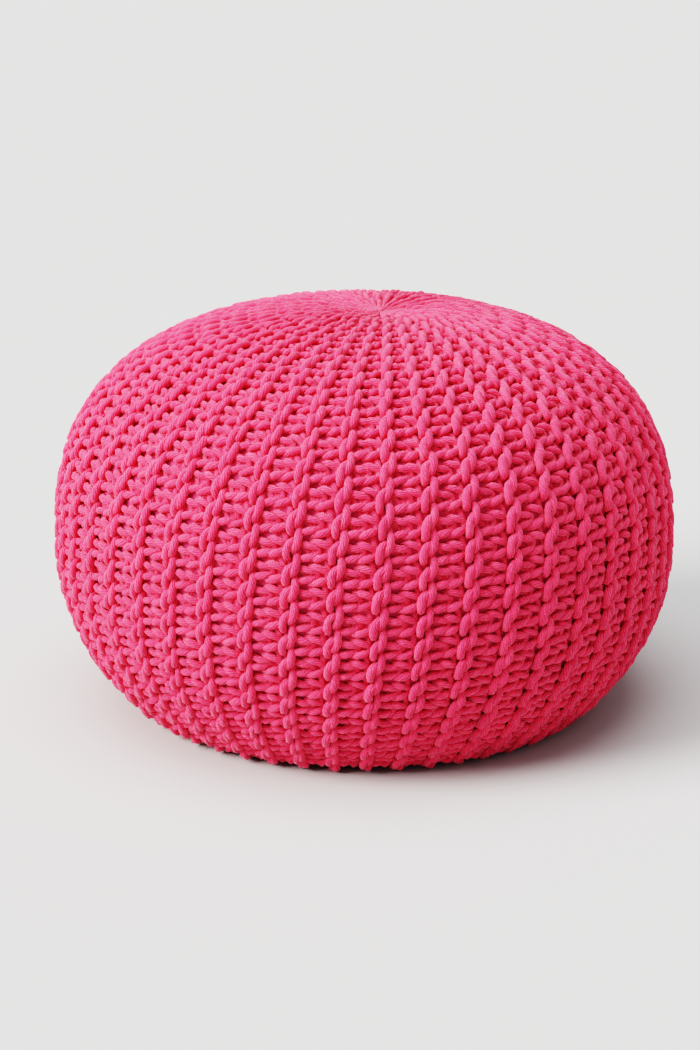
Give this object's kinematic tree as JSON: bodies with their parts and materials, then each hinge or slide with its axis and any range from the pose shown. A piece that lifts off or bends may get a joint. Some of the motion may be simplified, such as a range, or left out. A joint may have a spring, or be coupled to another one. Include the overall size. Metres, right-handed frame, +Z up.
{
  "type": "knitted pouf",
  "caption": "Round floor pouf: a filled cushion in thick ribbed knit, gathered at the top, with a flat base to stand on.",
  "frame": {"origin": "middle of the flat base, on the floor", "axes": "+Z up, -Y towards the front that the picture shows, +X to the right of that front"},
  "size_m": [0.5499, 0.55, 0.3507],
  "materials": {
    "pink_cotton": "matt thick cotton yarn, raspberry pink"
  },
  "bodies": {
    "root": {"knit_pouf": "pink_cotton"}
  },
  "joints": []
}
